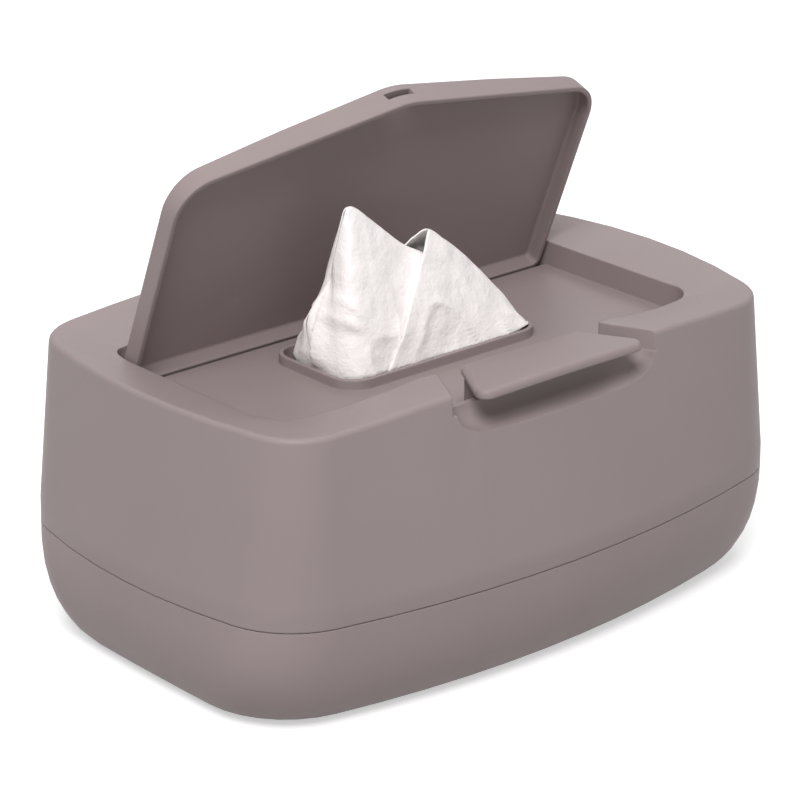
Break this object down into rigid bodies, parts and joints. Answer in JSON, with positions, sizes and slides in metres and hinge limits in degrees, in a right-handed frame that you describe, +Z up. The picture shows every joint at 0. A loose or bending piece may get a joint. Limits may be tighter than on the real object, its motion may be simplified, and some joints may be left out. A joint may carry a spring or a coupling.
{
  "type": "baby wipes box",
  "caption": "Wipes dispenser box with a deep tray, a plug-on housing, a sprung hinged lid in a recess, a press button over a finger scoop and a wipe pulled up through a collar.",
  "frame": {"origin": "centre of the underside, on the surface it stands on", "axes": "+Z up, +X along the length, the button faces -Y"},
  "size_m": [0.25, 0.173, 0.1852],
  "materials": {
    "tray_plastic": "satin moulded",
    "cover_plastic": "satin moulded",
    "lid_plastic": "satin moulded",
    "button_plastic": "satin moulded",
    "pin_steel": "drawn",
    "spring_steel": "drawn",
    "wipe_cloth": "moist non-woven"
  },
  "bodies": {
    "tray": {"base_tray": "tray_plastic", "wipes_stack": "wipe_cloth", "pulled_wipe": "wipe_cloth"},
    "cover": {"top_cover": "cover_plastic", "lid_spring": "spring_steel", "button_pin": "pin_steel", "button_spring": "spring_steel"},
    "lid": {"lid": "lid_plastic"},
    "button": {"push_button": "button_plastic"}
  },
  "joints": [
    {"name": "cover_lift", "type": "slide", "parent": "tray", "child": "cover", "axis": [0, 0, 1], "range_m": [0, 0.115]},
    {"name": "lid_hinge", "type": "hinge", "parent": "cover", "child": "lid", "pos_m": [0, 0.0367, 0.0971], "axis": [1, 0, 0], "range_deg": [0, 68.3], "stiffness_Nm_per_rad": 0.02, "springref_deg": -34.38, "deforming": ["pulled_wipe"]},
    {"name": "button_press", "type": "hinge", "parent": "cover", "child": "button", "pos_m": [0, -0.0592, 0.086], "axis": [1, 0, 0], "range_deg": [0, 8], "stiffness_Nm_per_rad": 0.25, "springref_deg": -5.73, "deforming": ["button_spring"]}
  ]
}
